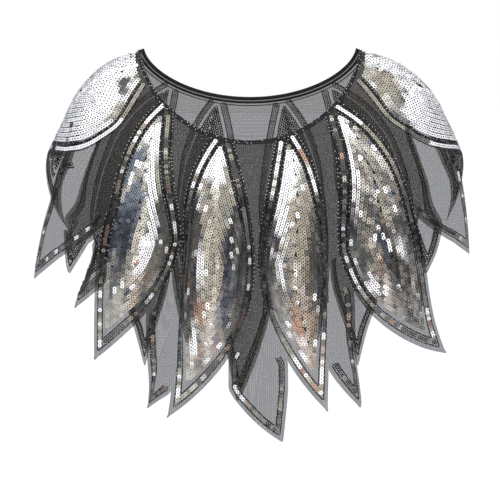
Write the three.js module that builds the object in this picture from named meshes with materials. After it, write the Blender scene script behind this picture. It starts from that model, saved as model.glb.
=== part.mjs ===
import * as THREE from 'three';

// Sequinned net capelet, worn over the shoulders. Millimetres, +Z up.
// The front faces -Y. The origin is the middle of the neck opening, level with the neck points.

// Cloth sizes
const NET = 1.2;
const SEAM = 0.3;
const SEQUIN_LAYER = 1.0;
const ROW = 26;
const TIP_MARGIN = 10;
const LAST_ROW = 16;
const TIP_HALF = 0.8;
const TIP_REACH = 60;
const PARTING = 0.06;

// Widths measured across a petal, from its cut edge inward
const BAND_OUT = 4.5;
const BAND_IN = 9.5;
const FIELD_IN = 14;
const LEAST_SHARE = 0.8;

// Soft folds: the petals stand out and the net between them sinks
const FOLD_DEPTH = 13;
const FOLD_START = 25;
const FOLD_FULL = 130;
const FOLD_FLATTEN = 0.25;
const FOLD_RISE = 0.2;
const SHOULDER_CALM = 1.0;

// Neck bindings, parted at the neck points by an angle in degrees
const FRONT_BINDING = 4;
const BACK_BINDING = 7;
const BINDING_THICK = 2.6;
const NECK_JOIN = 0.5;

// How the rings depart from plain ellipses
const SQUARENESS = 0.14;
const SQUARE_FULL = 120;
const DROP_POWER = 1.2;
const CREST_ROUND = 0.15;
const CREST_FULL = 80;

// How far both shoulders hang over to the right, most half way down to where it ends
const LEAN = 5.5;
const LEAN_END = 240;

// The drape, at distances down the cloth from the neckline
const RINGS = [
  { down: 0, halfWidth: 115, sideZ: 0, front: 74, frontZ: -92, back: 60, backZ: -55 },
  { down: 40, halfWidth: 150, sideZ: -13, front: 94, frontZ: -126, back: 80, backZ: -90 },
  { down: 80, halfWidth: 179, sideZ: -39, front: 112, frontZ: -162, back: 95, backZ: -127 },
  { down: 120, halfWidth: 198, sideZ: -74, front: 124, frontZ: -200, back: 105, backZ: -166 },
  { down: 160, halfWidth: 214, sideZ: -110.5, front: 131, frontZ: -239, back: 111, backZ: -205 },
  { down: 200, halfWidth: 224, sideZ: -149, front: 135, frontZ: -279, back: 114, backZ: -245 },
  { down: 260, halfWidth: 232, sideZ: -208.5, front: 138, frontZ: -339, back: 116, backZ: -305 },
  { down: 350, halfWidth: 234, sideZ: -298.5, front: 139, frontZ: -429, back: 117, backZ: -395 },
];

// The ten sequinned petals, in order round the neck. Angles are from the front middle, at the
// neckline, at the widest part and at the tip. widest is its distance down, and neck and
// wide are half the petal's width at the neckline and there.
const PETALS = [
  { name: 'shoulder_left', top: -81, mid: -85, tip: -127, widest: 62, length: 197, neck: 34, wide: 63 },
  { name: 'front_outer_left', top: -47, mid: -30.2, tip: -35.7, widest: 114, length: 257, neck: 13, wide: 37 },
  { name: 'front_inner_left', top: -14, mid: -8.6, tip: -17.3, widest: 129, length: 287, neck: 13, wide: 40 },
  { name: 'front_inner_right', top: 18.4, mid: 10.8, tip: 16.2, widest: 125, length: 280, neck: 13, wide: 35 },
  { name: 'front_outer_right', top: 46.5, mid: 35, tip: 50, widest: 130, length: 281, neck: 13, wide: 39 },
  { name: 'shoulder_right', top: 82, mid: 87, tip: 120, widest: 68, length: 195, neck: 31, wide: 58 },
  { name: 'back_outer_right', top: 135, mid: 142, tip: 134, widest: 115, length: 268, neck: 13, wide: 39 },
  { name: 'back_inner_right', top: 163, mid: 168, tip: 165, widest: 128, length: 288, neck: 13, wide: 40 },
  { name: 'back_inner_left', top: 197, mid: 192, tip: 194, widest: 128, length: 286, neck: 13, wide: 40 },
  { name: 'back_outer_left', top: 225, mid: 218, tip: 227, widest: 115, length: 271, neck: 13, wide: 39 },
];

// The net leaf that follows each petal round the neck: the angles of its two hanging edges and of
// its tip, and how far down the edges start to run together
const LEAVES = [
  { name: 'side_left', low: -72, high: -36, tip: -69.5, close: 100, length: 252 },
  { name: 'front_left', low: -24.6, high: -12, tip: -23.4, close: 240, length: 284 },
  { name: 'front_middle', low: -4.6, high: 8, tip: 6.8, close: 250, length: 303 },
  { name: 'front_right', low: 16, high: 26, tip: 24.2, close: 232, length: 285 },
  { name: 'side_right', low: 45, high: 77.5, tip: 75.5, close: 125, length: 240 },
  { name: 'back_side_right', low: 119, high: 133, tip: 127, close: 150, length: 238 },
  { name: 'back_right', low: 145, high: 160, tip: 152, close: 210, length: 304 },
  { name: 'back_middle', low: 175, high: 187, tip: 183, close: 230, length: 330 },
  { name: 'back_left', low: 200, high: 215, tip: 207, close: 210, length: 304 },
  { name: 'back_side_left', low: 226, high: 240, tip: 231, close: 150, length: 238 },
];

// How petals and leaves bend and round off
const TOP_BEND = 1.3;
const TIP_BEND = 2.7;
const TIP_FORM = 1.9;
const LEAF_FORM = 1.3;
const LEAF_FREE = 0.4;

// Half the stretch, in degrees, over which a width in millimetres is turned into an angle
const WIDTH_STEP = 6;

// Small step, in degrees or millimetres, for directions along the surface
const STEP = 0.5;

const radians = (degrees) => degrees * Math.PI / 180;

// Smooth value of one column of the ring table at a distance down the cloth
function ringValue(column, down) {
  const last = RINGS.length - 1;
  const first = RINGS[0];
  if (down < 0) {
    const slope = (RINGS[1][column] - first[column]) / RINGS[1].down;
    return first[column] + slope * down;
  }
  let k = 0;
  while (k < last - 1 && down > RINGS[k + 1].down) k += 1;
  const slopeAt = (i) => {
    const low = RINGS[Math.max(i - 1, 0)];
    const high = RINGS[Math.min(i + 1, last)];
    return (high[column] - low[column]) / (high.down - low.down);
  };
  const a = RINGS[k];
  const b = RINGS[k + 1];
  const h = b.down - a.down;
  const t = (down - a.down) / h;
  const t2 = t * t;
  const t3 = t2 * t;
  return (2 * t3 - 3 * t2 + 1) * a[column] + (t3 - 2 * t2 + t) * h * slopeAt(k)
    + (3 * t2 - 2 * t3) * b[column] + (t3 - t2) * h * slopeAt(k + 1);
}

// The drape without its folds
function drape(angle, down) {
  const c = Math.cos(angle);
  const s = Math.sin(angle);
  const square = SQUARENESS * Math.min(1, Math.max(0, down) / SQUARE_FULL);
  const side = c > 0 ? 'front' : 'back';
  const sideZ = ringValue('sideZ', down);
  const endZ = ringValue(`${side}Z`, down);
  const lean = LEAN * Math.sin(Math.PI * Math.min(1, Math.max(0, down) / LEAN_END));
  const crest = CREST_ROUND * Math.min(1, Math.max(0, down) / CREST_FULL);
  const swing = (Math.hypot(c, crest) - crest) / (Math.hypot(1, crest) - crest);
  return new THREE.Vector3(
    ringValue('halfWidth', down) * s * (1 + square * c * c) + lean * s * s,
    -ringValue(side, down) * c * (1 + square * s * s),
    sideZ + (endZ - sideZ) * swing ** DROP_POWER,
  );
}

// How far along the way from one distance to another, from 0 to 1
const shareOf = (down, from, to) => Math.min(1, Math.max(0, (down - from) / (to - from)));

// Middle line of a petal: a smooth curve through its three angles
function petalMiddle(petal, down) {
  const { top, mid, tip, widest, length } = petal;
  if (down > widest) {
    return mid + (tip - mid) * shareOf(down, widest, length) ** TIP_BEND;
  }
  return mid + (top - mid) * (1 - shareOf(down, 0, widest)) ** TOP_BEND;
}

// Half the width of a petal in millimetres
function petalHalf(petal, down) {
  const { neck, wide, widest, length } = petal;
  if (down > widest) {
    return Math.max(wide * (1 - shareOf(down, widest, length) ** TIP_FORM), TIP_HALF);
  }
  return neck + (wide - neck) * (1 - (1 - shareOf(down, 0, widest)) ** 2);
}

// Millimetres of cloth in one degree round the body
function perDegree(angle, down) {
  const a = drape(radians(angle - WIDTH_STEP), down);
  const b = drape(radians(angle + WIDTH_STEP), down);
  return a.distanceTo(b) / (2 * WIDTH_STEP);
}

// Cut edge of a petal in degrees: side is -1 for its lower angle and 1 for its higher one
function petalEdge(petal, side, down) {
  const middle = petalMiddle(petal, down);
  return middle + side * petalHalf(petal, down) / perDegree(middle, down);
}

// The petal before or after an angle round the neck, carried on past a full turn
function petalAt(index) {
  const count = PETALS.length;
  const turns = Math.floor(index / count);
  const petal = PETALS[index - turns * count];
  const shift = 360 * turns;
  return { ...petal, top: petal.top + shift, mid: petal.mid + shift, tip: petal.tip + shift };
}

// Fold height, 1 along the middle of each petal and lowest half way between two of them
function foldWave(degrees, down) {
  let index = 0;
  while (petalMiddle(petalAt(index), down) > degrees) index -= 1;
  while (petalMiddle(petalAt(index + 1), down) <= degrees) index += 1;
  const low = petalMiddle(petalAt(index), down);
  const high = petalMiddle(petalAt(index + 1), down);
  const phase = 2 * Math.PI * (degrees - low) / (high - low);
  return Math.cos(phase) - FOLD_FLATTEN * Math.cos(2 * phase);
}

// The finished cloth surface, with the folds standing out level from the body
function cloth(degrees, down) {
  const angle = radians(degrees);
  const point = drape(angle, down);
  const grown = Math.min(1, Math.max(0, (down - FOLD_START) / (FOLD_FULL - FOLD_START)));
  const shoulder = 1 - SHOULDER_CALM * Math.sin(angle) ** 6;
  const height = FOLD_DEPTH * grown * grown * (3 - 2 * grown) * shoulder;
  const outward = new THREE.Vector3(Math.sin(angle), -Math.cos(angle), FOLD_RISE).normalize();
  return point.addScaledVector(outward, height * foldWave(degrees, down));
}

function clothNormal(degrees, down) {
  const turn = cloth(degrees + STEP, down).sub(cloth(degrees - STEP, down));
  const fall = cloth(degrees, down + STEP).sub(cloth(degrees, down - STEP));
  return fall.cross(turn).normalize();
}

// Distances down the cloth at which a piece has its rows
function rowsTo(length) {
  const rows = [];
  for (let down = 0; down < length - LAST_ROW; down += ROW) rows.push(down);
  rows.push(length - TIP_MARGIN, length);
  return rows;
}

// Points and outward directions of a piece, row by row
function lattice(rows, anglesAt) {
  return rows.map((down) => anglesAt(down).map((degrees) => ({
    at: cloth(degrees, down),
    out: clothNormal(degrees, down),
  })));
}

// Angles across a piece from its two edges, with lines inside each edge at set distances
function across(low, high, down, insets) {
  const middle = (low + high) / 2;
  const half = (high - low) / 2;
  const scale = perDegree(middle, down);
  const parts = insets.map((inset, i) => {
    const least = LEAST_SHARE * (insets.length - i) / (insets.length + 1);
    return Math.max(half - inset / scale, half * least);
  });
  const lefts = parts.map((part) => middle - part);
  const rights = parts.map((part) => middle + part).reverse();
  return [low, ...lefts, ...rights, high];
}

// Closed plate over the chosen cells of a lattice, between two distances from its surface
function plate(name, grid, chosen, from, to, material) {
  const columns = grid[0].length;
  const has = (r, c) => r >= 0 && c >= 0 && r < grid.length - 1 && c < columns - 1 && chosen(r, c);
  const positions = [];
  const indices = [];
  const known = new Map();
  const vertex = (r, c, outer) => {
    const key = (r * columns + c) * 2 + (outer ? 1 : 0);
    if (!known.has(key)) {
      const { at, out } = grid[r][c];
      const p = at.clone().addScaledVector(out, outer ? to : from);
      known.set(key, positions.length / 3);
      positions.push(p.x, p.y, p.z);
    }
    return known.get(key);
  };
  const quad = (a, b, c, d) => indices.push(a, b, c, a, c, d);
  const wall = (r1, c1, r2, c2) => {
    quad(vertex(r1, c1, false), vertex(r2, c2, false), vertex(r2, c2, true), vertex(r1, c1, true));
  };
  for (let r = 0; r < grid.length - 1; r += 1) {
    for (let c = 0; c < columns - 1; c += 1) {
      if (has(r, c)) {
        const face = [[r, c], [r + 1, c], [r + 1, c + 1], [r, c + 1]];
        const back = [face[0], face[3], face[2], face[1]];
        quad(...face.map(([i, j]) => vertex(i, j, true)));
        quad(...back.map(([i, j]) => vertex(i, j, false)));
        if (!has(r, c - 1)) wall(r, c, r + 1, c);
        if (!has(r + 1, c)) wall(r + 1, c, r + 1, c + 1);
        if (!has(r, c + 1)) wall(r + 1, c + 1, r, c + 1);
        if (!has(r - 1, c)) wall(r, c + 1, r, c);
      }
    }
  }
  const geometry = new THREE.BufferGeometry();
  geometry.setAttribute('position', new THREE.Float32BufferAttribute(positions, 3));
  geometry.setIndex(indices);
  geometry.computeVertexNormals();
  const mesh = new THREE.Mesh(geometry, material);
  mesh.name = name;
  return mesh;
}

const netMaterial = () => new THREE.MeshStandardMaterial({
  color: 0x2b2b2e, roughness: 0.85, metalness: 0,
});
const sequinMaterial = () => new THREE.MeshStandardMaterial({
  color: 0xc4c0b8, roughness: 0.22, metalness: 0.9,
});
const beadMaterial = () => new THREE.MeshStandardMaterial({
  color: 0x141418, roughness: 0.3, metalness: 0,
});

const LAYER_FROM = NET / 2 + SEAM;
const LAYER_TO = LAYER_FROM + SEQUIN_LAYER;

// Angles across a petal: its border band and gap on each side, and its field in three
function petalAngles(petal, down) {
  const low = petalEdge(petal, -1, down);
  const high = petalEdge(petal, 1, down);
  const lines = across(low, high, down, [BAND_OUT, BAND_IN, FIELD_IN]);
  const inner = (lines[4] - lines[3]) / 3;
  return [...lines.slice(0, 4), lines[3] + inner, lines[4] - inner, ...lines.slice(4)];
}

// One petal: its net, its sequin border band and its field of sequins
function petalPieces(petal) {
  const rows = rowsTo(petal.length);
  const grid = lattice(rows, (down) => petalAngles(petal, down));
  const lastColumn = grid[0].length - 2;
  const tipRow = rows.length - 2;
  const isBand = (r, c) => {
    const side = c === 1 || c === lastColumn - 1;
    const foot = r === tipRow - 1 && c > 0 && c < lastColumn;
    return r < tipRow && (side || foot);
  };
  const isField = (r, c) => c > 2 && c < lastColumn - 2 && r > 0 && r < tipRow - 2;
  return [
    plate(`petal_${petal.name}`, grid, () => true, -NET / 2, NET / 2, netMaterial()),
    plate(`border_${petal.name}`, grid, isBand, LAYER_FROM, LAYER_TO, sequinMaterial()),
    plate(`sequins_${petal.name}`, grid, isField, LAYER_FROM, LAYER_TO, sequinMaterial()),
  ];
}

// How far a leaf may reach towards a petal: a seam off its edge, and clear of its tip
function leafLimit(petal, side, down) {
  if (down > petal.length + ROW) return -side * Infinity;
  const level = Math.min(down, petal.length);
  const parting = SEAM + PARTING * Math.max(0, down - petal.length + TIP_REACH);
  return petalEdge(petal, side, level) + side * parting / perDegree(petal.mid, level);
}

// Edges of a net leaf, and whether each is its own free edge or lies along a petal
function leafEdges(leaf, index, down) {
  const share = shareOf(down, leaf.close, leaf.length) ** LEAF_FORM;
  const half = TIP_HALF / perDegree(leaf.tip, down) * share;
  const reach = down < LEAF_FREE * leaf.length ? Infinity : 0;
  const freeLow = leaf.low + (leaf.tip - leaf.low) * share - half - reach;
  const freeHigh = leaf.high + (leaf.tip - leaf.high) * share + half + reach;
  const lowEnd = leafLimit(petalAt(index), 1, down);
  const highEnd = leafLimit(petalAt(index + 1), -1, down);
  return {
    low: Math.max(freeLow, lowEnd),
    high: Math.min(freeHigh, highEnd),
    lowFree: freeLow > lowEnd,
    highFree: freeHigh < highEnd,
  };
}

function leafAngles(leaf, index, down) {
  const { low, high } = leafEdges(leaf, index, down);
  return across(low, high, down, [BAND_OUT, BAND_IN]);
}

// One net leaf, filling the space between two petals and running on to its own tip
function leafPieces(leaf, index) {
  const rows = rowsTo(leaf.length);
  const grid = lattice(rows, (down) => leafAngles(leaf, index, down));
  const tipRow = rows.length - 2;
  const edges = rows.map((down) => leafEdges(leaf, index, down));
  const isBand = (r, c) => {
    const lowSide = c === 1 && edges[r].lowFree;
    const highSide = c === 3 && edges[r].highFree;
    const foot = r === tipRow - 1 && c > 0 && c < 4;
    return r < tipRow && (lowSide || highSide || foot);
  };
  return [
    plate(`leaf_${leaf.name}`, grid, () => true, -NET / 2, NET / 2, netMaterial()),
    plate(`leaf_border_${leaf.name}`, grid, isBand, LAYER_FROM, LAYER_TO, sequinMaterial()),
  ];
}

// Beaded binding along part of the neckline, standing on the upper edge of the net
function neckBinding(name, from, to, width) {
  const onNet = [
    ...PETALS.map((petal) => petalAngles(petal, 0)),
    ...LEAVES.map((leaf, index) => leafAngles(leaf, index, 0)),
  ].flat();
  const angles = onNet.flatMap((angle) => [angle - 360, angle, angle + 360])
    .filter((angle) => angle > from + NECK_JOIN && angle < to - NECK_JOIN)
    .sort((a, b) => a - b)
    .filter((angle, i, all) => i === 0 || angle - all[i - 1] > NECK_JOIN / 2);
  const grid = lattice([-SEAM - width, -SEAM], () => [from, ...angles, to]);
  const half = BINDING_THICK / 2;
  return plate(name, grid, () => true, -half, half, beadMaterial());
}

const capelet = new THREE.Group();
capelet.name = 'sequinned_net_capelet';
PETALS.forEach((petal) => capelet.add(...petalPieces(petal)));
LEAVES.forEach((leaf, index) => capelet.add(...leafPieces(leaf, index)));
capelet.add(neckBinding('neck_binding_front', NECK_JOIN - 90, 90 - NECK_JOIN, FRONT_BINDING));
capelet.add(neckBinding('neck_binding_back', 90 + NECK_JOIN, 270 - NECK_JOIN, BACK_BINDING));

export default capelet;
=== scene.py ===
import math

import bpy
import numpy as np
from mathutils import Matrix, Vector


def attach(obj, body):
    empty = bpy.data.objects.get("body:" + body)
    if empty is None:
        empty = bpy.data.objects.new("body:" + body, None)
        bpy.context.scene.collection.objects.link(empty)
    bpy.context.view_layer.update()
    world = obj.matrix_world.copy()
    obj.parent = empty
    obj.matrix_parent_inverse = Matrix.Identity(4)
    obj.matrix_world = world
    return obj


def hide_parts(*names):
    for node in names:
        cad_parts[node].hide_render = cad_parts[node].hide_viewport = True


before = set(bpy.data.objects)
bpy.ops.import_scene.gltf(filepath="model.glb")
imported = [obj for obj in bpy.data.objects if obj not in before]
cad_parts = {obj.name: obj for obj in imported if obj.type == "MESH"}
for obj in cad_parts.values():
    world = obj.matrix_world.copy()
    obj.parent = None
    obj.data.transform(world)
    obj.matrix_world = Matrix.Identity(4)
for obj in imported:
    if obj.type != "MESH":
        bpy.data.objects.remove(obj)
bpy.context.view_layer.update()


# Studio. A long lens a little above the middle of the capelet, as in the photo, in a white room
# with a plain white floor. A broad panel in front and wide light overhead give the white
# reflections, and a dim room all round gives the dark ones.
PIXEL = 0.00103
SIDE_PIXELS = 500
CAMERA_AWAY = 2.6
CAMERA_TILT = math.radians(5)
PHOTO_MIDDLE = (249.5, 250.0)
NECK_ROW = 52
SENSOR = 36.0

aim_z = -(PHOTO_MIDDLE[1] - NECK_ROW) * PIXEL
camera_data = bpy.data.cameras.new("camera")
camera = bpy.data.objects.new("camera", camera_data)
bpy.context.scene.collection.objects.link(camera)
bpy.context.scene.camera = camera
camera_data.sensor_width = SENSOR
camera_data.lens = SENSOR * CAMERA_AWAY / (SIDE_PIXELS * PIXEL)
camera.location = (
    0,
    -CAMERA_AWAY * math.cos(CAMERA_TILT),
    aim_z + CAMERA_AWAY * math.sin(CAMERA_TILT),
)
camera.rotation_euler = (math.pi / 2 - CAMERA_TILT, 0, 0)


def linear(hex_colour):
    """An sRGB hex colour as linear red, green, blue and full alpha."""
    parts = [int(hex_colour[i : i + 2], 16) / 255 for i in (1, 3, 5)]
    return tuple(p / 12.92 if p <= 0.04045 else ((p + 0.055) / 1.055) ** 2.4 for p in parts) + (1,)


def add_node(tree, kind, settings=(), values=(), links=()):
    """One shader node with its settings, its sockets' values and what each socket reads."""
    node = tree.nodes.new(kind)
    for name, value in dict(settings).items():
        setattr(node, name, value)
    for name, value in dict(values).items():
        node.inputs[name].default_value = value
    for name, source in dict(links).items():
        tree.links.new(source, node.inputs[name])
    return node


def new_material(name):
    """An empty node material and its Principled shader."""
    material = bpy.data.materials.new(name)
    material.use_nodes = True
    return material, material.node_tree, material.node_tree.nodes["Principled BSDF"]


def mottled_material(name, scale, detail, dark, light):
    """A material whose colour wanders between two with a noise, and its Principled shader."""
    material, tree, shader = new_material(name)
    coords = add_node(tree, "ShaderNodeTexCoord")
    grain = add_node(
        tree, "ShaderNodeTexNoise",
        values={"Scale": scale, "Detail": detail},
        links={"Vector": coords.outputs["Object"]},
    )
    colour = add_node(
        tree, "ShaderNodeMix",
        settings={"data_type": "RGBA"},
        links={"Factor": grain.outputs["Fac"]},
    )
    colour.inputs[6].default_value = linear(dark)
    colour.inputs[7].default_value = linear(light)
    tree.links.new(colour.outputs[2], shader.inputs["Base Color"])
    return material, shader


def new_piece(name, points, faces, materials):
    """A mesh object from lists of points in metres, of faces and of materials."""
    mesh = bpy.data.meshes.new(name)
    mesh.from_pydata(points, [], faces)
    for material in materials:
        mesh.materials.append(material)
    piece = bpy.data.objects.new(name, mesh)
    bpy.context.scene.collection.objects.link(piece)
    return piece


bpy.context.scene.view_settings.view_transform = "Standard"

FLOOR_Z = -1.4
FLOOR_RADIUS = 40.0
FLOOR_SIDES = 96

studio_paper, _, paper_shader = new_material("matt white studio paper")
paper_shader.inputs["Base Color"].default_value = linear("#FCFCFC")
paper_shader.inputs["Roughness"].default_value = 0.9
turn = [2 * math.pi * i / FLOOR_SIDES for i in range(FLOOR_SIDES)]
floor_points = [(FLOOR_RADIUS * math.cos(a), FLOOR_RADIUS * math.sin(a), FLOOR_Z) for a in turn]
floor = new_piece("floor", floor_points, [tuple(range(FLOOR_SIDES))], [studio_paper])

# A white room to look at, and a dim cool one to light and reflect
world = bpy.data.worlds.new("studio")
bpy.context.scene.world = world
world.use_nodes = True
room = world.node_tree
dim_room = room.nodes["Background"]
dim_room.inputs["Color"].default_value = linear("#8C94A4")
dim_room.inputs["Strength"].default_value = 0.8
white_room = add_node(room, "ShaderNodeBackground", values={"Strength": 1.0})
white_room.inputs["Color"].default_value = (1, 1, 1, 1)
ray = add_node(room, "ShaderNodeLightPath")
seen = add_node(room, "ShaderNodeMixShader", links={"Fac": ray.outputs["Is Camera Ray"]})
room.links.new(dim_room.outputs[0], seen.inputs[1])
room.links.new(white_room.outputs[0], seen.inputs[2])
room.links.new(seen.outputs[0], room.nodes["World Output"].inputs["Surface"])

SUN_STRENGTH = 3.1
SUN_SPREAD = math.radians(80)
SUN_TILT = math.radians(20)
sun_data = bpy.data.lights.new("wide overhead", "SUN")
sun_data.energy = SUN_STRENGTH
sun_data.angle = SUN_SPREAD
sun = bpy.data.objects.new("wide overhead", sun_data)
bpy.context.scene.collection.objects.link(sun)
sun.rotation_euler = (SUN_TILT, 0, 0)

# name, place, aim, size across and up, watts, colour
LAMPS = [
    ("front panel", (-0.5, -3.2, 0.5), (0, 0, -0.2), (2.2, 2.2), 34, "#FFFAF4"),
    ("low warm", (0.5, -1.6, -0.5), (0, 0, -0.25), (0.9, 0.25), 1.6, "#FFC09A"),
    ("back panel", (0.6, 3.2, 0.6), (0, 0, -0.2), (2.2, 2.2), 26, "#FFFAF4"),
]
for name, place, aim, size, watts, colour in LAMPS:
    lamp_data = bpy.data.lights.new(name, "AREA")
    lamp_data.shape = "RECTANGLE"
    lamp_data.size, lamp_data.size_y = size
    lamp_data.energy = watts
    lamp_data.color = linear(colour)[:3]
    lamp = bpy.data.objects.new(name, lamp_data)
    bpy.context.scene.collection.objects.link(lamp)
    lamp.location = place
    lamp.rotation_euler = (Vector(aim) - Vector(place)).to_track_quat("-Z", "Y").to_euler()


# The net. One layer of fine black nylon tulle, gathered on the neck and cut along the petals'
# outlines, so that its hem is a row of leaf points. It stands out along each petal and sinks
# between them, with a few soft uneven creases.

# From here on lengths are millimetres, and angles are degrees from the front middle
NET_THICK = 0.5
ROW_STEP = 4.0
PETAL_COLUMNS = 22
LEAF_COLUMNS = 14
FOLD_DEPTH, FOLD_START, FOLD_FULL = 13.0, 25.0, 130.0
FOLD_FLATTEN, FOLD_RISE, SHOULDER_CALM = 0.25, 0.2, 1.0
SQUARENESS, SQUARE_FULL, DROP_POWER = 0.14, 120.0, 1.2
TIP_FORM, TOP_BEND, TIP_BEND = 1.9, 1.3, 2.7
TIP_HALF, LEAF_FORM, LEAF_FREE = 0.8, 1.3, 0.4
CREST_ROUND, CREST_FULL, WIDTH_STEP = 0.15, 80.0, 6.0
LEAN, LEAN_END = 5.5, 240.0
# beyond any angle or length, the half step a direction is taken over, and the weld in metres
FAR, PROBE, WELD = 1e9, 0.5, 0.00003

# down from the neckline, half width, its height, front depth, its height, back depth, its height
RINGS = np.array([
    (0, 115, 0, 74, -92, 60, -55),
    (40, 150, -13, 94, -126, 80, -90),
    (80, 179, -39, 112, -162, 95, -127),
    (120, 198, -74, 124, -200, 105, -166),
    (160, 214, -110.5, 131, -239, 111, -205),
    (200, 224, -149, 135, -279, 114, -245),
    (260, 232, -208.5, 138, -339, 116, -305),
    (350, 234, -298.5, 139, -429, 117, -395),
], float)

# name, angle at the neckline, at the widest part, at the tip, distance down to the widest part,
# length, half width at the neckline, at the widest part
PETALS = [
    ("shoulder_left", -81, -85, -127, 62, 197, 34, 63),
    ("front_outer_left", -47, -30.2, -35.7, 114, 257, 13, 37),
    ("front_inner_left", -14, -8.6, -17.3, 129, 287, 13, 40),
    ("front_inner_right", 18.4, 10.8, 16.2, 125, 280, 13, 35),
    ("front_outer_right", 46.5, 35, 50, 130, 281, 13, 39),
    ("shoulder_right", 82, 87, 120, 68, 195, 31, 58),
    ("back_outer_right", 135, 142, 134, 115, 268, 13, 39),
    ("back_inner_right", 163, 168, 165, 128, 288, 13, 40),
    ("back_inner_left", 197, 192, 194, 128, 286, 13, 40),
    ("back_outer_left", 225, 218, 227, 115, 271, 13, 39),
]

# name, angles of its free edges, of its tip, where the edges start to close, length;
# each leaf follows the petal of the same place
LEAVES = [
    ("side_left", -72, -36, -69.5, 100, 252),
    ("front_left", -24.6, -12, -23.4, 240, 284),
    ("front_middle", -4.6, 8, 6.8, 250, 303),
    ("front_right", 16, 26, 24.2, 232, 285),
    ("side_right", 45, 77.5, 75.5, 125, 240),
    ("back_side_right", 119, 133, 127, 150, 238),
    ("back_right", 145, 160, 152, 210, 304),
    ("back_middle", 175, 187, 183, 230, 330),
    ("back_left", 200, 215, 207, 210, 304),
    ("back_side_left", 226, 240, 231, 150, 238),
]

# Creases pressed into the net: angle and distance down of each end, width, and height, which is
# below zero in a trough
CREASES = [
    (-50, 118, -63, 205, 7, -2.6),
    (-72, 60, -66, 140, 8, 2.2),
    (62, 80, 58, 130, 6, -2.4),
    (74, 45, 84, 120, 9, -2.0),
    (2.5, 120, 4, 250, 8, -2.2),
    (-33, 60, -27, 190, 9, 1.8),
    (12, 70, 9, 175, 10, -1.6),
    (-20, 170, -24, 262, 7, 2.0),
    (40, 90, 34, 200, 9, 1.7),
    (-98, 50, -112, 130, 9, -2.2),
    (105, 60, 118, 150, 9, 2.0),
    (150, 80, 154, 230, 8, -2.3),
    (181, 100, 184, 260, 8, -2.0),
    (209, 70, 205, 200, 9, 1.9),
    (170, 60, 166, 180, 10, 1.6),
    (236, 70, 248, 160, 8, -2.2),
]


def ring_at(down):
    """The ring table's columns at each distance down the cloth, smoothly between its rows."""
    down = np.asarray(down, float)
    inside = np.clip(down, 0, RINGS[-1, 0])
    k = np.clip(np.searchsorted(RINGS[:, 0], inside, side="right") - 1, 0, len(RINGS) - 2)
    slopes = np.array([
        (RINGS[min(i + 1, len(RINGS) - 1)] - RINGS[max(i - 1, 0)])
        / (RINGS[min(i + 1, len(RINGS) - 1), 0] - RINGS[max(i - 1, 0), 0])
        for i in range(len(RINGS))
    ])
    a, b, h = RINGS[k], RINGS[k + 1], (RINGS[k + 1, 0] - RINGS[k, 0])[..., None]
    t = ((inside - RINGS[k, 0])[..., None]) / h
    smooth = (2 * t**3 - 3 * t**2 + 1) * a + (t**3 - 2 * t**2 + t) * h * slopes[k]
    smooth += (3 * t**2 - 2 * t**3) * b + (t**3 - t**2) * h * slopes[k + 1]
    first = (RINGS[1] - RINGS[0]) / (RINGS[1, 0] - RINGS[0, 0])
    return smooth + np.minimum(down, 0)[..., None] * first


def drape(degrees, down):
    """The cloth's form without its folds."""
    angle = np.radians(degrees)
    c, s = np.cos(angle), np.sin(angle)
    ring = ring_at(down)
    square = SQUARENESS * np.clip(np.asarray(down, float) / SQUARE_FULL, 0, 1)
    depth = np.where(c > 0, ring[..., 3], ring[..., 5])
    end_z = np.where(c > 0, ring[..., 4], ring[..., 6])
    lean = LEAN * np.sin(np.pi * np.clip(np.asarray(down, float) / LEAN_END, 0, 1))
    x = ring[..., 1] * s * (1 + square * c * c) + lean * s * s
    y = -depth * c * (1 + square * s * s)
    crest = CREST_ROUND * np.clip(np.asarray(down, float) / CREST_FULL, 0, 1)
    swing = (np.sqrt(c * c + crest**2) - crest) / (np.sqrt(1 + crest**2) - crest)
    z = ring[..., 2] + (end_z - ring[..., 2]) * swing**DROP_POWER
    return np.stack([x, y, z], -1)


def per_degree(degrees, down):
    """Millimetres of cloth in one degree round the body."""
    a = drape(np.asarray(degrees) - WIDTH_STEP, down)
    b = drape(np.asarray(degrees) + WIDTH_STEP, down)
    return np.linalg.norm(b - a, axis=-1) / (2 * WIDTH_STEP)


def petal_at(index):
    """A petal of the table, carried on past a full turn."""
    name, top, mid, tip, widest, length, neck, wide = PETALS[index % len(PETALS)]
    shift = 360 * (index // len(PETALS))
    return name, top + shift, mid + shift, tip + shift, widest, length, neck, wide


def petal_middle(petal, down):
    """The angle of a petal's middle line at each distance down."""
    _, top, mid, tip, widest, length, _, _ = petal
    down = np.asarray(down, float)
    above = mid + (top - mid) * np.clip(1 - down / widest, 0, 1) ** TOP_BEND
    below = mid + (tip - mid) * np.clip((down - widest) / (length - widest), 0, 1) ** TIP_BEND
    return np.where(down > widest, below, above)


def petal_half(petal, down):
    """Half of a petal's width at each distance down."""
    _, _, _, _, widest, length, neck, wide = petal
    down = np.asarray(down, float)
    above = neck + (wide - neck) * (1 - np.clip(1 - down / widest, 0, 1) ** 2)
    below = wide * (1 - np.clip((down - widest) / (length - widest), 0, 1) ** TIP_FORM)
    return np.maximum(np.where(down > widest, below, above), TIP_HALF)


def petal_edge(petal, side, down):
    """The angle of a petal's low (-1) or high (1) edge at each distance down."""
    middle = petal_middle(petal, down)
    return middle + side * petal_half(petal, down) / per_degree(middle, down)


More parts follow.
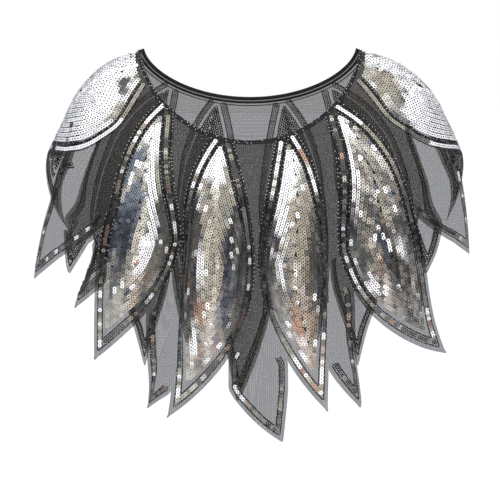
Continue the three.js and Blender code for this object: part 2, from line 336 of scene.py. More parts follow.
def fold_wave(degrees, down):
    """Highest along the middle of each petal and lowest half way between two of them."""
    degrees, down = np.broadcast_arrays(np.asarray(degrees, float), np.asarray(down, float))
    middles = np.stack([petal_middle(petal_at(i), down) for i in range(-4, len(PETALS) + 5)])
    k = np.clip((middles <= degrees).sum(0) - 1, 0, len(middles) - 2)[None]
    low = np.take_along_axis(middles, k, 0)[0]
    high = np.take_along_axis(middles, k + 1, 0)[0]
    phase = 2 * np.pi * (degrees - low) / (high - low)
    return np.cos(phase) - FOLD_FLATTEN * np.cos(2 * phase)


def crease_height(degrees, down):
    """How far all the creases lift or sink the net, fading out towards their ends."""
    height = np.zeros(degrees.shape)
    width = per_degree(degrees, down)
    for start, top, end, bottom, reach, lift in CREASES:
        share = np.clip((down - top) / (bottom - top), 0, 1)
        away = (degrees - start - (end - start) * share) * width / reach
        height += lift * np.exp(-(away**2)) * np.sin(np.pi * share) ** 2
    return height


def cloth(degrees, down):
    """The finished surface of the net."""
    degrees, down = np.broadcast_arrays(np.asarray(degrees, float), np.asarray(down, float))
    angle = np.radians(degrees)
    grown = np.clip((down - FOLD_START) / (FOLD_FULL - FOLD_START), 0, 1)
    height = FOLD_DEPTH * grown**2 * (3 - 2 * grown) * (1 - SHOULDER_CALM * np.sin(angle) ** 6)
    outward = np.stack([np.sin(angle), -np.cos(angle), np.full_like(angle, FOLD_RISE)], -1)
    outward /= math.sqrt(1 + FOLD_RISE**2)
    height = height * fold_wave(degrees, down) + crease_height(degrees, down)
    return drape(degrees, down) + outward * height[..., None]


def cloth_frame(degrees, down):
    """Places on the net with the outward, downward and sideways directions there."""
    turn = cloth(degrees + PROBE, down) - cloth(degrees - PROBE, down)
    fall = cloth(degrees, down + PROBE) - cloth(degrees, down - PROBE)
    out = np.cross(fall, turn)
    out /= np.linalg.norm(out, axis=-1, keepdims=True)
    fall /= np.linalg.norm(fall, axis=-1, keepdims=True)
    return cloth(degrees, down), out, fall, np.cross(out, fall)


def leaf_edges(index, down):
    """Both edges of a net leaf, in degrees, and whether each is free of the petal beside it."""
    _, low, high, tip, close, length = LEAVES[index]
    before, after = petal_at(index), petal_at(index + 1)
    share = np.clip((down - close) / (length - close), 0, 1) ** LEAF_FORM
    thin = TIP_HALF / per_degree(np.full_like(down, tip), down)
    free_low = low + (tip - low) * share - thin * share
    free_high = high + (tip - high) * share + thin * share
    free_low = np.where(down < LEAF_FREE * length, -FAR, free_low)
    free_high = np.where(down < LEAF_FREE * length, FAR, free_high)
    low_end = petal_edge(before, 1, np.minimum(down, before[5]))
    high_end = petal_edge(after, -1, np.minimum(down, after[5]))
    low_end = np.where(down > before[5], -FAR, low_end)
    high_end = np.where(down > after[5], FAR, high_end)
    return (
        np.maximum(free_low, low_end),
        np.minimum(free_high, high_end),
        free_low > low_end,
        free_high < high_end,
    )


def rows_to(length):
    """Distances down for the rows of a petal or leaf, the last one at its tip."""
    return np.append(np.arange(0, length - 1, ROW_STEP), length)


net_points, net_faces = [], []


def add_gore(low, high, down, columns):
    """Adds the net between two edges to the points and faces, row by row."""
    share = np.linspace(0, 1, columns + 1)
    degrees = low[:, None] + (high - low)[:, None] * share
    points = cloth(degrees, np.repeat(down[:, None], columns + 1, 1)).reshape(-1, 3) / 1000
    first = len(net_points)
    net_points.extend(map(tuple, points))
    wide = columns + 1
    for r in range(len(down) - 1):
        for c in range(columns):
            corner = first + r * wide + c
            net_faces.append((corner, corner + wide, corner + wide + 1, corner + 1))


for index in range(len(PETALS)):
    petal = petal_at(index)
    down = rows_to(petal[5])
    add_gore(petal_edge(petal, -1, down), petal_edge(petal, 1, down), down, PETAL_COLUMNS)
for index, leaf in enumerate(LEAVES):
    down = rows_to(leaf[5])
    low, high, _, _ = leaf_edges(index, down)
    add_gore(low, high, down, LEAF_COLUMNS)

# Black nylon tulle: see-through and dull, so that one layer is a warm grey over white and two are
# darker still. Its threads are about 1 mm apart, too fine to show, so they are drawn 2 mm apart as
# a faint grain.
NET_COLOUR = "#211E17"
THREAD_STEP = 0.002
NET_COVER_LOW, NET_COVER_HIGH = 0.37, 0.53

tulle, tree, shader = new_material("black nylon tulle")
coords = add_node(tree, "ShaderNodeTexCoord")
cells = add_node(
    tree, "ShaderNodeTexVoronoi",
    settings={"feature": "DISTANCE_TO_EDGE"},
    values={"Scale": 1 / THREAD_STEP, "Randomness": 0.25},
    links={"Vector": coords.outputs["Object"]},
)
cover = add_node(
    tree, "ShaderNodeMapRange",
    values={"From Min": 0.05, "From Max": 0.35, "To Min": NET_COVER_HIGH, "To Max": NET_COVER_LOW},
    links={"Value": cells.outputs["Distance"]},
)
tree.links.new(cover.outputs["Result"], shader.inputs["Alpha"])
shader.inputs["Base Color"].default_value = linear(NET_COLOUR)
shader.inputs["Roughness"].default_value = 0.75
shader.inputs["Specular IOR Level"].default_value = 0.25

net = new_piece("net", net_points, net_faces, [tulle])
bpy.ops.object.select_all(action="DESELECT")
bpy.context.view_layer.objects.active = net
net.select_set(True)
bpy.ops.object.mode_set(mode="EDIT")
bpy.ops.mesh.select_all(action="SELECT")
bpy.ops.mesh.remove_doubles(threshold=WELD)
bpy.ops.mesh.normals_make_consistent(inside=False)
bpy.ops.object.mode_set(mode="OBJECT")
bpy.ops.object.shade_smooth()
solid = net.modifiers.new("thickness", "SOLIDIFY")
solid.thickness = NET_THICK / 1000
solid.offset = 0
bpy.ops.object.modifier_apply(modifier=solid.name)
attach(net, "root")
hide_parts(*[f"petal_{p[0]}" for p in PETALS], *[f"leaf_{leaf[0]}" for leaf in LEAVES])


# Sequins. Flat rings of silver film, 4 mm across, or 12% more in the shoulder fields, sewn on
# through their open middles. They lie in close rows that follow each petal's outline and in one row
# along each border. The white, dark or coppery tones they reflect are painted into their colours in
# patches and short runs, partly the film's own colour and partly painted reflection.
DISC_R = 2.0
HOLE_R = 0.84
DISC_SIDES = 10
DISC_THICK = 0.12
DISC_LIFT, LIFT_JITTER = 0.75, 0.1
SHOULDER_GROWN = 1.12
DISC_TIP_DOWN = math.radians(4)
DISC_JITTER = math.radians(3)
# The fields: row and disc spacing, distance in from the cut edge, where the first disc may lie
FIELD_ROW, FIELD_PITCH = 4.0, 3.25
FIELD_IN, FIELD_TOP = 15.2, 3.6
# how far down the rows are begun, above the neckline so that they reach it, and how many a side
FIELD_START, FIELD_ROWS = -40.0, 20
PLACE_JITTER = 0.1
# least distance between discs of two rows and at the middle line, the steps and side steps there
CLEAR, MIDDLE_CLEAR, MIDDLE_STEP, MIDDLE_ASIDE = 2.6, 2.05, 0.6, 1.3
# distance from the tip where the field thins out, the length it takes, the share left out
THIN_FROM, THIN_OVER, THIN_MOST = 45, 30, 0.6
# the one border row: its distance in from the cut edge, and the spacing of its discs
BORDER_IN, BORDER_PITCH = 7.0, 3.3
# step down and spare degrees of a piece laid flat, and how exactly a row keeps its distance
FLAT_STEP, FLAT_SPARE = 1.2, 3
EDGE_SHARE = 0.985

# tone, its colour, partly the film's own and partly painted reflection, and how mirror-like it is
TONES = {
    "white": ("#FFFFFF", 0.3),
    "silver": ("#B8B3A8", 0.8),
    "warm": ("#8F897B", 0.9),
    "navy": ("#636973", 0.95),
    "copper": ("#A38471", 0.85),
    "smoke": ("#4A4843", 0.9),
}
# each tone's score in a field: its base, and what streaks, patches and distance down add to it
TONE_SCORES = {
    "warm": (0.55, 0, 0.12, 0),
    "silver": (0.42, 0.22, 0, 0),
    "navy": (0.22, -0.24, 0.12, 0),
    "white": (0.16, 0.14, 0.16, 0),
    "copper": (-0.05, -0.12, 0.16, 0.25),
    "smoke": (0.18, 0, 0, 0),
}
# the streaks' waves in radians a millimetre: a fine one, its bend and the bend's own wave, and a
# broad one across and down; then the two of the patches, across and down
STREAK_FINE, STREAK_BEND, BEND_WAVE = 0.42, 1.4, 0.03
STREAK_BROAD = (0.23, -0.02)
PATCH_WAVES = [(0.11, 0.07), (-0.06, 0.13)]
# how sharply the highest score wins, its scatter, and the run of discs that share one draw
TONE_SHARP, TONE_SCATTER, SCATTER_RUN = 9, 0.12, 2
# how far a mirror-like disc may be dimmed; the share and run of discs given a painted white
# glint
TONE_DIM = 0.42
PAINTED_FLASH_SHARE, PAINTED_FLASH_RUN = 0.026, 2
# border rows: discs in a run, spread of the runs, scatter of the discs, wave along the row
BORDER_RUN, RUN_SPREAD, ROW_SCATTER, ROW_WAVE = 2, 0.75, 0.45, 0.09
BORDER_STEPS = [(1.1, "white"), (0.45, "silver"), (-0.5, "warm"), (-FAR, "smoke")]
COPPER_SHARE = 0.04
# how much duller a border is on a petal and on a leaf, and how soon before its edge is free a
# leaf's border starts
PETAL_DULL, LEAF_DULL = 0.1, 0.45
FREE_LEAD = 6

# Where each tone gathers on a petal, as painted reflection: mostly white painted highlights where
# the petal faces the light and navy painted shade towards its sides. The middle of its patch across
# (from -1 to 1, edge to edge) and down (from 0 to 1), its reach in each, and its strength
PATCHES = {
    "shoulder_left": [
        ("white", 0.0, 0.35, 1.4, 0.6, 1.4), ("smoke", 0.52, 0.13, 0.34, 0.06, 1.65),
        ("warm", 0.9, 0.22, 0.12, 0.08, 1.2), ("warm", 0.5, 0.03, 0.25, 0.025, 1.4),
    ],
    "shoulder_right": [
        ("white", 0.3, 0.3, 0.5, 0.5, 1.4), ("white", -0.5, 0.6, 0.8, 0.2, 1.7),
        ("white", -0.3, 0.4, 0.4, 0.1, 1.4), ("warm", -0.45, 0.14, 0.3, 0.07, 0.9),
        ("smoke", -0.7, 0.27, 0.2, 0.06, 0.7), ("white", -0.75, 0.1, 0.12, 0.04, 0.7),
    ],
    "front_outer_left": [
        ("white", -0.3, 0.12, 0.5, 0.07, 1.2), ("white", 0.3, 0.28, 0.2, 0.2, 1.5),
        ("white", 0.25, 0.53, 0.18, 0.1, 1.2), ("warm", 0.72, 0.38, 0.2, 0.22, 1.0),
        ("navy", -0.3, 0.4, 0.22, 0.16, 0.9), ("navy", -0.75, 0.45, 0.3, 0.25, 1.1),
        ("silver", -0.2, 0.84, 0.6, 0.16, 1.6), ("copper", 0.7, 0.62, 0.14, 0.05, 1.0),
        ("navy", 1.0, 0.35, 0.12, 0.35, 1.3), ("navy", 0.1, 0.72, 0.2, 0.08, 0.9),
    ],
    "front_inner_left": [
        ("white", -0.3, 0.09, 0.7, 0.09, 1.5), ("warm", 0.1, 0.32, 0.6, 0.12, 0.5),
        ("white", -0.46, 0.45, 0.12, 0.1, 1.2), ("navy", -0.95, 0.4, 0.14, 0.25, 1.3),
        ("navy", 0.42, 0.5, 0.22, 0.2, 1.1), ("copper", -0.35, 0.62, 0.15, 0.07, 1.1),
        ("copper", 0.0, 0.72, 0.2, 0.07, 0.9), ("white", -0.45, 0.72, 0.18, 0.07, 1.2),
        ("silver", -0.1, 0.86, 0.5, 0.1, 0.9),
    ],
    "front_inner_right": [
        ("white", -0.2, 0.1, 0.9, 0.1, 1.7), ("white", -0.5, 0.27, 0.25, 0.1, 1.4),
        ("white", -0.35, 0.48, 0.14, 0.1, 0.9), ("warm", 0.45, 0.36, 0.4, 0.2, 0.8),
        ("navy", -0.95, 0.45, 0.14, 0.22, 1.3), ("navy", 0.97, 0.5, 0.12, 0.3, 1.2),
        ("copper", -0.1, 0.7, 0.18, 0.08, 0.9), ("white", -0.4, 0.78, 0.2, 0.07, 1.1),
    ],
    "front_outer_right": [
        ("white", -0.1, 0.08, 0.6, 0.05, 1.5), ("white", -0.62, 0.22, 0.14, 0.12, 1.6),
        ("navy", -1.0, 0.3, 0.16, 0.35, 1.6), ("copper", 0.2, 0.4, 0.22, 0.06, 0.8),
        ("navy", 0.0, 0.5, 0.16, 0.08, 1.1), ("white", -0.62, 0.62, 0.14, 0.07, 1.1),
        ("white", 0.55, 0.55, 0.14, 0.06, 1.0), ("copper", 0.5, 0.78, 0.2, 0.06, 0.8),
        ("smoke", 0.3, 0.82, 0.4, 0.1, 0.6), ("smoke", 0.0, 0.5, 0.9, 0.35, 0.5),
    ],
}
# The back petals' painted highlights and painted shade, as above
BACK_PATCHES = [
    ("white", 0.15, 0.12, 0.5, 0.12, 1.5), ("navy", -0.85, 0.45, 0.22, 0.3, 1.2),
    ("white", 0.35, 0.45, 0.16, 0.18, 1.1), ("copper", -0.2, 0.7, 0.18, 0.08, 0.9),
    ("navy", 0.95, 0.5, 0.14, 0.35, 1.1), ("silver", 0.0, 0.85, 0.4, 0.1, 0.9),
]
# Runs of one tone along a border, partly the film's own colour and partly painted reflection:
# the side, where it starts and ends as shares of the row, tone
STRIPES = {
    "shoulder_left": [(1, 0.0, 0.2, "warm"), (1, 0.2, 0.62, "white")],
    "shoulder_right": [(-1, 0.0, 0.45, "warm"), (-1, 0.45, 0.8, "white")],
    "front_outer_left": [
        (-1, 0.0, 0.12, "white"), (-1, 0.54, 0.62, "copper"), (1, 0.0, 0.1, "warm"),
    ],
    "front_inner_left": [
        (-1, 0.0, 0.17, "white"), (1, 0.26, 0.4, "silver"), (1, 0.6, 0.68, "copper"),
    ],
    "front_inner_right": [
        (1, 0.0, 0.07, "white"), (1, 0.07, 0.13, "copper"), (-1, 0.0, 0.03, "white"),
    ],
    "front_outer_right": [
        (1, 0.0, 0.13, "white"), (1, 0.13, 0.5, "warm"), (-1, 0.62, 0.66, "silver"),
    ],
    "back_outer_right": [(-1, 0.0, 0.12, "white"), (1, 0.5, 0.6, "copper")],
    "back_inner_right": [(1, 0.1, 0.3, "white"), (-1, 0.4, 0.48, "copper")],
    "back_inner_left": [(-1, 0.0, 0.15, "white"), (1, 0.3, 0.42, "silver")],
    "back_outer_left": [(1, 0.0, 0.12, "white"), (-1, 0.45, 0.52, "copper")],
}

# Mirror film on plastic: each disc carries its colour, partly the film's own and partly painted
# reflection, and the less mirror-like a disc is, the rougher it is, so the painted white
# reflections stay white from any side
film, tree, shader = new_material("silver sequin film")
colour_and_painted_reflection = add_node(tree, "ShaderNodeAttribute", settings={"attribute_name": "colour_and_painted_reflection"})
mirror = add_node(tree, "ShaderNodeAttribute", settings={"attribute_name": "film"})
tree.links.new(colour_and_painted_reflection.outputs["Color"], shader.inputs["Base Color"])
tree.links.new(mirror.outputs["Fac"], shader.inputs["Metallic"])
polish = add_node(
    tree, "ShaderNodeMapRange",
    values={"To Min": 0.6, "To Max": 0.26},
    links={"Value": mirror.outputs["Fac"]},
)
tree.links.new(polish.outputs["Result"], shader.inputs["Roughness"])

# Near-black painted shade on the backs of the fields' sequins, standing for the dark inside of the
# garment that they reflect, so the far petals look black from inside; border sequins are silver on
# both sides
sequin_back_painted_shade, _, shader = new_material("painted shade on sequin backs")
shader.inputs["Base Color"].default_value = linear("#0A0A0C")
shader.inputs["Roughness"].default_value = 0.5
shader.inputs["Specular IOR Level"].default_value = 0.3


class FlatPiece:
    """A petal or leaf laid flat: millimetres across from a straight line and down from the neck."""

    def __init__(self, low, high, down):
        self.down = down
        self.degrees = np.arange(low.min() - FLAT_SPARE, high.max() + FLAT_SPARE + 1, 1.0)
        grid = cloth(self.degrees[None], down[:, None])
        steps = np.linalg.norm(np.diff(grid, axis=1), axis=-1)
        self.across = np.concatenate([np.zeros((len(down), 1)), np.cumsum(steps, 1)], 1)
        middle = (low[0] + high[0]) / 2
        zero = [np.interp(middle, self.degrees, row) for row in self.across]
        self.across -= np.array(zero)[:, None]
        self.low_edge = self.line(low)
        self.high_edge = self.line(high)

    def line(self, degrees):
        """Flat places of one angle for each row."""
        across = [np.interp(a, self.degrees, row) for a, row in zip(degrees, self.across)]
        return np.stack([across, self.down], -1)

    def sides_at(self, down):
        """How far across the low and the high edge are at each distance down."""
        return [np.interp(down, self.down, edge[:, 0]) for edge in (self.low_edge, self.high_edge)]

    def holds(self, flat):
        """Whether each flat place is between the edges."""
        low, high = self.sides_at(flat[:, 1])
        return (flat[:, 0] > low) & (flat[:, 0] < high)

    def on_cloth(self, flat):
        """Angles and distances down for flat places."""
        row = (flat[:, 1] - self.down[0]) / (self.down[-1] - self.down[0]) * (len(self.down) - 1)
        row = np.clip(row, 0, len(self.down) - 1.001)  # so that a row is always left below it
        first = row.astype(int)
        part = row - first
        above = [np.interp(x, self.across[i], self.degrees) for x, i in zip(flat[:, 0], first)]
        below = [np.interp(x, self.across[i + 1], self.degrees) for x, i in zip(flat[:, 0], first)]
        return np.array(above) * (1 - part) + np.array(below) * part, flat[:, 1]


def distance_to(flat, line):
    """From each flat place to the nearest point of a line."""
    return np.linalg.norm(flat[:, None] - line[None], axis=-1).min(1)


def lengths_along(line):
    """Length along a line at each of its points."""
    steps = np.linalg.norm(np.diff(line, axis=0), axis=1)
    return np.concatenate([[0], np.cumsum(steps)])


def beside(line, offset):
    """A line moved sideways by an offset, towards its left as it goes down for one above 0."""
    step = np.gradient(line, axis=0)
    step /= np.linalg.norm(step, axis=1, keepdims=True)
    return line + np.stack([step[:, 1], -step[:, 0]], -1) * offset


def spaced(line, pitch):
    """Evenly spaced places along a line."""
    length = lengths_along(line)
    at = np.arange(0, length[-1], pitch)
    return np.stack([np.interp(at, length, line[:, i]) for i in (0, 1)], -1)


def inside_edge(piece, side, inset, pitch):
    """Places at a set distance inside one edge, ending where the other edge is as near."""
    edge = piece.low_edge if side < 0 else piece.high_edge
    line = beside(edge, -side * inset)
    both = np.concatenate([piece.low_edge, piece.high_edge])
    line = line[piece.holds(line) & (distance_to(line, both) > inset * EDGE_SHARE)]
    return spaced(line, pitch) if len(line) > 1 else line


def petal_flat(petal, start=0.0):
    """A petal laid flat from a distance down to its tip."""
    down = np.linspace(start, petal[5], int((petal[5] - start) / FLAT_STEP))
    return FlatPiece(petal_edge(petal, -1, down), petal_edge(petal, 1, down), down)


def field_places(piece, grown, dice):
    """Rows that follow both edges and meet along the middle, thinned out towards the tip."""
    middle = (piece.low_edge + piece.high_edge) / 2
    both = np.concatenate([piece.low_edge, piece.high_edge])
    length = piece.down[-1]
    kept = np.empty((0, 2))
    rows = [
        inside_edge(piece, side, FIELD_IN + k * FIELD_ROW * grown, FIELD_PITCH * grown)
        for k in range(FIELD_ROWS) for side in (-1, 1)
    ]
    for row in rows:
        row = row[row[:, 1] > FIELD_TOP]
        if len(row):
            row = row[distance_to(row, both) > FIELD_IN * EDGE_SHARE]
        if len(row) and len(kept):
            row = row[distance_to(row, kept) > CLEAR * grown]
        kept = np.concatenate([kept, row])
    offsets = (0, -MIDDLE_ASIDE, MIDDLE_ASIDE)
    fillers = np.concatenate([spaced(beside(middle, offset), MIDDLE_STEP) for offset in offsets])
    for place in fillers:
        free = place[1] > FIELD_TOP and distance_to(place[None], both)[0] > FIELD_IN * EDGE_SHARE
        if free and distance_to(place[None], kept)[0] > MIDDLE_CLEAR * grown:
            kept = np.concatenate([kept, place[None]])
    thin = np.clip((kept[:, 1] - (length - THIN_FROM)) / THIN_OVER, 0, THIN_MOST)
    kept = kept[dice.uniform(0, 1, len(kept)) > thin]
    return kept + dice.normal(0, PLACE_JITTER, kept.shape)


def disc_tones(piece, places, patches, dice):
    """Each disc's colour, partly the film's own and partly painted reflection, and its mirror
    value, from the petal's patches and fine lengthwise streaks.
    """
    x, y = places[:, 0], places[:, 1]
    low, high = piece.sides_at(y)
    field_half = np.maximum((high - low) / 2 - FIELD_IN + FIELD_ROW, FIELD_ROW)
    across = (x - (low + high) / 2) / field_half
    fall = y / piece.down[-1]
    # Five of the eight are used: fewer would change every later draw
    shift = dice.uniform(0, 20, 8)
    streak = np.sin(x * STREAK_FINE + shift[0] + STREAK_BEND * np.sin(y * BEND_WAVE + shift[1]))
    streak += np.sin(x * STREAK_BROAD[0] + y * STREAK_BROAD[1] + shift[2])
    patch = sum(np.sin(y * v + start + x * u) for (u, v), start in zip(PATCH_WAVES, shift[3:]))
    count = len(places)
    score = {
        tone: base + by_streak * streak + by_patch * patch + by_fall * fall
        for tone, (base, by_streak, by_patch, by_fall) in TONE_SCORES.items()
    }
    for tone, at_x, at_y, reach_x, reach_y, strength in patches:
        near = np.exp(-(((across - at_x) / reach_x) ** 2) - ((fall - at_y) / reach_y) ** 2)
        score[tone] = score[tone] + strength * near
    names = list(score)
    scores = np.stack([score[name] for name in names], -1)
    runs = dice.gumbel(0, TONE_SCATTER, (count // SCATTER_RUN + 1, len(names)))
    share = np.exp(TONE_SHARP * (scores + np.repeat(runs, SCATTER_RUN, 0)[:count]))
    share /= share.sum(-1, keepdims=True)
    # runs of discs given a painted white glint
    painted_flash = np.repeat(dice.uniform(0, 1, count // PAINTED_FLASH_RUN + 1) < PAINTED_FLASH_SHARE, PAINTED_FLASH_RUN)[:count]
    share[painted_flash] = [name == "white" for name in names]
    colours = np.array([linear(TONES[name][0]) for name in names])
    mirrors = np.array([TONES[name][1] for name in names])
    return share @ colours, share @ mirrors


def disc_mesh(piece, places, tones, films, grown, back_slot, dice):
    """Rings on the net as points and faces, with each face's colour, mirror value and material."""
    degrees, down = piece.on_cloth(places)
    at, out, fall, side = cloth_frame(degrees, down)
    count = len(at)
    tip = DISC_TIP_DOWN + dice.normal(0, DISC_JITTER, count)
    roll = dice.normal(0, DISC_JITTER, count)
    face = out + fall * np.tan(tip)[:, None] + side * np.tan(roll)[:, None]
    face /= np.linalg.norm(face, axis=1, keepdims=True)
    u = np.cross(face, fall)
    u /= np.linalg.norm(u, axis=1, keepdims=True)
    v = np.cross(u, face)
    at = at + out * (DISC_LIFT + dice.uniform(-LIFT_JITTER, LIFT_JITTER, (count, 1)))
    turn = np.linspace(0, 2 * np.pi, DISC_SIDES, endpoint=False)
    rim = np.cos(turn)[None, :, None] * u[:, None] - np.sin(turn)[None, :, None] * v[:, None]
    inner = at[:, None] + rim * HOLE_R * grown
    outer = at[:, None] + rim * DISC_R * grown
    sunk = face[:, None] * DISC_THICK
    points = np.concatenate([inner, outer, inner - sunk, outer - sunk], 1).reshape(-1, 3) / 1000
    i = np.arange(DISC_SIDES)
    j = (i + 1) % DISC_SIDES
    front = np.stack([DISC_SIDES + i, DISC_SIDES + j, j, i], -1)
    ring = np.concatenate([front, front[:, ::-1] + 2 * DISC_SIDES])
    faces = (np.arange(count)[:, None, None] * 4 * DISC_SIDES + ring).reshape(-1, 4)
    shades = tones * (1 - TONE_DIM * films * dice.uniform(0, 1, count))[:, None]
    slots = np.tile(np.repeat([0, back_slot], DISC_SIDES), count)
    per_disc = 2 * DISC_SIDES
    return points, faces, np.repeat(shades, per_disc, 0), np.repeat(films, per_disc), slots


def sequin_piece(name, parts):
    """One mesh of many sequins, with each face's colour and mirror value kept as attributes."""
    starts = np.cumsum([0] + [len(part[0]) for part in parts])
    faces = [part[1] + start for part, start in zip(parts, starts)]
    points, _, colours, mirrors, slots = (np.concatenate(column) for column in zip(*parts))
    piece = new_piece(name, points.tolist(), np.concatenate(faces).tolist(), [film, sequin_back_painted_shade])
    piece.data.polygons.foreach_set("material_index", slots.astype(np.int32))
    # each face's colour, partly the film's own and partly painted reflection
    reflection_colour_data = piece.data.attributes.new("colour_and_painted_reflection", "FLOAT_COLOR", "FACE")
    reflection_colour_data.data.foreach_set("color", colours.ravel())
    film_data = piece.data.attributes.new("film", "FLOAT", "FACE")
    film_data.data.foreach_set("value", mirrors.ravel())
    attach(piece, "root")
    return piece


def row_tones(count, dice, stripes, dull):
    """Border sequins change colour, partly the film's own and partly painted reflection, in short
    runs along their row, some of them placed.
    """
    run_count = count // BORDER_RUN + 1
    value = np.repeat(dice.normal(0, RUN_SPREAD, run_count), BORDER_RUN)[:count]
    value = value + np.sin(np.arange(count) * ROW_WAVE + dice.uniform(0, 6))
    value = value + dice.normal(0, ROW_SCATTER, count) - dull
    names = [next(tone for least, tone in BORDER_STEPS if v > least) for v in value]
    copper = np.repeat(dice.uniform(0, 1, run_count) < COPPER_SHARE, BORDER_RUN)[:count]
    names = ["copper" if turned else name for name, turned in zip(names, copper)]
    for start, end, tone in stripes:
        for k in range(int(start * count), int(end * count)):
            names[k] = tone
    colours = np.array([linear(TONES[name][0]) for name in names])
    return colours, np.array([TONES[name][1] for name in names])


for index, petal in enumerate(PETALS):
    name = petal[0]
    grown = SHOULDER_GROWN if name.startswith("shoulder") else 1.0
    dice = np.random.default_rng(100 + index)
    whole = petal_flat(petal, FIELD_START)
    places = field_places(whole, grown, dice)
    tones, films = disc_tones(whole, places, PATCHES.get(name, BACK_PATCHES), dice)
    field = sequin_piece(f"field_{name}", [disc_mesh(whole, places, tones, films, grown, 1, dice)])
    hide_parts(f"sequins_{name}")
    piece = petal_flat(petal)
    parts = []
    for side in (-1, 1):
        row = inside_edge(piece, side, BORDER_IN, BORDER_PITCH)
        stripes = [run[1:] for run in STRIPES.get(name, []) if run[0] == side]
        tones, films = row_tones(len(row), dice, stripes, PETAL_DULL)
        parts.append(disc_mesh(piece, row, tones, films, 1.0, 0, dice))
    border = sequin_piece(f"border_row_{name}", parts)
    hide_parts(f"border_{name}")


def leaf_flat(index):
    """A leaf laid flat, and how far down the border of its low and of its high edge starts."""
    length = LEAVES[index][5]
    down = np.linspace(0, length, int(length / FLAT_STEP))
    low, high, *both_free = leaf_edges(index, down)
    starts = [down[free].min() - FREE_LEAD if free.any() else down[-1] for free in both_free]
    return FlatPiece(low, high, down), starts


for index, leaf in enumerate(LEAVES):
    dice = np.random.default_rng(200 + index)
    piece, starts = leaf_flat(index)
    parts = []
    for side, start in zip((-1, 1), starts):
        row = inside_edge(piece, side, BORDER_IN, BORDER_PITCH)
        row = row[row[:, 1] > start]
        if len(row):
            tones, films = row_tones(len(row), dice, [], LEAF_DULL)
            parts.append(disc_mesh(piece, row, tones, films, 1.0, 0, dice))
    border = sequin_piece(f"leaf_row_{leaf[0]}", parts)
    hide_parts(f"leaf_border_{leaf[0]}")


# Beads. Black glass, 2 mm across beside the borders on the upper part of the front and shoulder
# petals, and smaller in fine lines along all borders; some carry a painted highlight, a bright spot
# on the flat top standing for the glint of the glass. Each is a low six-sided stud, because it is
# hardly wider than a pixel.
BEAD_SIDES = 6
FILL_R, FILL_PITCH = 1.1, 2.1
LINE_R, LINE_PITCH = 0.78, 1.3
LEAF_LINE_R = 0.88
BEAD_LIFT = 0.3
# how wide the flat top, which holds the painted glint on some beads, is as a share of the bead
SPOT_SHARE = 0.38
LINE_INSETS = (4.3, 9.8)
# inset from the cut edge, and how many of the row's beads show a painted glint
FILL_ROWS = [(1.7, 0.36), (3.7, 0.03), (10.4, 0.03), (12.4, 0.36)]
SHOULDER_ROWS = [(11.2, 0.36)]
# share of the fine lines' beads with a painted glint
LINE_PAINTED_GLINTS = 0.14
# the share of a petal's length that is filled, and how many of the first petals are at the front
FILL_TO, FRONT_PETALS = 0.62, 6

# Black glass is smooth, so that it keeps a small highlight, and its black varies a little
black_glass, shader = mottled_material("black glass beads", 300, 1, "#060608", "#14151C")
shader.inputs["Roughness"].default_value = 0.25

# Painted highlights: a light colour on the flat top of some beads stands for the glint of the
# glass, brighter on some beads than on others
painted_glint_glass, shader = mottled_material(
    "painted glints of glass beads", 120, 2, "#8E8C88", "#FFFDF8"
)
shader.inputs["Metallic"].default_value = 0.3
shader.inputs["Roughness"].default_value = 0.35


def bead_piece(name, rows, dice):
    """One mesh of beads. Each row gives angles, distances down, radius and share of beads with a
    painted glint.
    """
    turn = np.linspace(0, 2 * np.pi, BEAD_SIDES, endpoint=False)[None, :, None]
    points, faces, slots = [], [], []
    for degrees, down, radius, painted_glint_share in rows:
        if not len(degrees):
            continue
        at, out, fall, side = cloth_frame(degrees, down)
        rim = np.cos(turn) * side[:, None] + np.sin(turn) * fall[:, None]
        foot = (at + out * BEAD_LIFT)[:, None]
        crown = foot + out[:, None] * radius
        # every second bead may get a painted glint on its top
        painted_bead_glint = (np.arange(len(at)) % 2 == 0) & (dice.uniform(0, 1, len(at)) < 2 * painted_glint_share)
        first = len(points)
        ring = np.concatenate([foot + rim * radius, crown + rim * radius * SPOT_SHARE], 1)
        points.extend(map(tuple, ring.reshape(-1, 3) / 1000))
        for bead in range(len(at)):
            low = first + bead * 2 * BEAD_SIDES
            high = low + BEAD_SIDES
            for k in range(BEAD_SIDES):
                n = (k + 1) % BEAD_SIDES
                faces.append((low + k, high + k, high + n, low + n))
                slots.append(0)
            faces.append(tuple(high + k for k in reversed(range(BEAD_SIDES))))
            slots.append(int(painted_bead_glint[bead]))
    piece = new_piece(name, points, faces, [black_glass, painted_glint_glass])
    piece.data.polygons.foreach_set("material_index", slots)
    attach(piece, "root")
    return piece


def bead_row(piece, side, inset, radius, pitch, painted_glint_share, least=0.0, most=FAR):
    """One row of beads at a set distance inside an edge."""
    row = inside_edge(piece, side, inset, pitch)
    row = row[(row[:, 1] > least) & (row[:, 1] < most)]
    degrees, down = piece.on_cloth(row) if len(row) else ([], [])
    return degrees, down, radius, painted_glint_share


for index, petal in enumerate(PETALS):
    dice = np.random.default_rng(300 + index)
    piece = petal_flat(petal)
    rows = []
    for side in (-1, 1):
        for inset in LINE_INSETS:
            rows.append(bead_row(piece, side, inset, LINE_R, LINE_PITCH, LINE_PAINTED_GLINTS))
        full = petal[5] * FILL_TO
        filled = SHOULDER_ROWS if petal[0].startswith("shoulder") else FILL_ROWS
        for inset, painted_glint_share in filled if index < FRONT_PETALS else []:
            rows.append(bead_row(piece, side, inset, FILL_R, FILL_PITCH, painted_glint_share, most=full))
    bead_piece(f"beads_{petal[0]}", rows, dice)

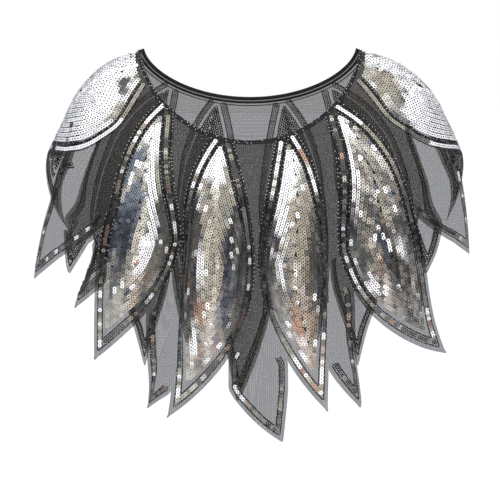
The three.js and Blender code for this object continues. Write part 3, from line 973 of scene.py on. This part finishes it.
for index, leaf in enumerate(LEAVES):
    dice = np.random.default_rng(400 + index)
    piece, starts = leaf_flat(index)
    rows = []
    for side, start in zip((-1, 1), starts):
        for inset in LINE_INSETS:
            row = bead_row(piece, side, inset, LEAF_LINE_R, LINE_PITCH, LINE_PAINTED_GLINTS, least=start)
            rows.append(row)
    bead_piece(f"leaf_beads_{leaf[0]}", rows, dice)


# Neck bindings. A narrow folded strip of the same net, opaque where it is doubled, with close rows
# of the beads along it: two rows on the front and three on the wider back. Two finer rows finish
# the back and one the front, and a pale thread gathers the back on the inside.
# degrees left between front and back, and how far each binding stands above the neckline
NECK_JOIN = 0.5
FRONT_HIGH, BACK_HIGH = 4.3, 7.3
# shares of the neck's round and fine beads with a painted glint
NECK_PAINTED_GLINTS, TOP_ROW_PAINTED_GLINTS = 0.22, 0.1
STITCHED_BELOW = 2.6
NECK_STEPS, STRIP_STEPS = 700, 121

# Folded tulle is opaque, dull and nearly black, with the threads of its layers as a faint grain
folded_tulle, shader = mottled_material("folded nylon tulle", 700, 1, "#060607", "#1A1A1C")
shader.inputs["Roughness"].default_value = 0.8
shader.inputs["Specular IOR Level"].default_value = 0.3

# Polyester thread has a soft sheen on a pale grey
pale_thread, _, shader = new_material("pale polyester thread")
shader.inputs["Base Color"].default_value = linear("#8C8C8E")
shader.inputs["Roughness"].default_value = 0.5


def neck_row(low, high, row, radius, pitch, painted_glint_share):
    """One row of beads round the neck, between two angles."""
    dense = np.linspace(low, high, NECK_STEPS)
    length = lengths_along(cloth(dense, np.full(NECK_STEPS, row)))
    degrees = np.interp(np.arange(0, length[-1], pitch), length, dense)
    return degrees, np.full(len(degrees), row), radius, painted_glint_share


# Rows are distances down the cloth, below zero above the neckline: round beads, then fine ones
for name, low, high, round_rows, fine_rows in (
    ("front", -90 + NECK_JOIN, 90 - NECK_JOIN, (-1.2, -3.3), (-FRONT_HIGH,)),
    ("back", 90 + NECK_JOIN, 270 - NECK_JOIN, (-1.2, -3.6, -6.0), (-BACK_HIGH, STITCHED_BELOW)),
):
    dice = np.random.default_rng(500 + len(name))
    rows = [neck_row(low, high, row, FILL_R, FILL_PITCH, NECK_PAINTED_GLINTS) for row in round_rows]
    rows += [neck_row(low, high, row, LINE_R, LINE_PITCH, TOP_ROW_PAINTED_GLINTS) for row in fine_rows]
    bead_piece(f"neck_beads_{name}", rows, dice)

# The strips and the thread: piece, material, angles it runs between, its lower and upper rows, its
# inner and outer faces
STRIPS = [
    ("binding_front", folded_tulle, -90 + NECK_JOIN, 90 - NECK_JOIN, -0.3, -FRONT_HIGH, -0.7, 0.7),
    ("binding_back", folded_tulle, 90 + NECK_JOIN, 270 - NECK_JOIN, -0.3, -BACK_HIGH, -0.7, 0.7),
    ("binding_thread", pale_thread, 91, 269, -3.4, -4.2, -1.1, -0.6),
]
for name, material, low, high, bottom, top, inner, outer in STRIPS:
    steps = np.linspace(low, high, STRIP_STEPS)
    section = [(outer, bottom), (outer, top), (inner, top), (inner, bottom)]
    strip_points, strip_faces = [], []
    for lift, row in section:
        at, out, _, _ = cloth_frame(steps, np.full(STRIP_STEPS, row))
        strip_points += ((at + out * lift) / 1000).tolist()
    corners = [k * STRIP_STEPS for k in range(len(section))]
    for this, other in zip(corners, corners[1:] + corners[:1]):
        for i in range(STRIP_STEPS - 1):
            strip_faces.append((this + i, other + i, other + i + 1, this + i + 1))
    strip_faces.append(tuple(reversed(corners)))
    strip_faces.append(tuple(corner + STRIP_STEPS - 1 for corner in corners))
    strip = new_piece(name, strip_points, strip_faces, [material])
    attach(strip, "root")
    if material is folded_tulle:
        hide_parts(f"neck_{name}")
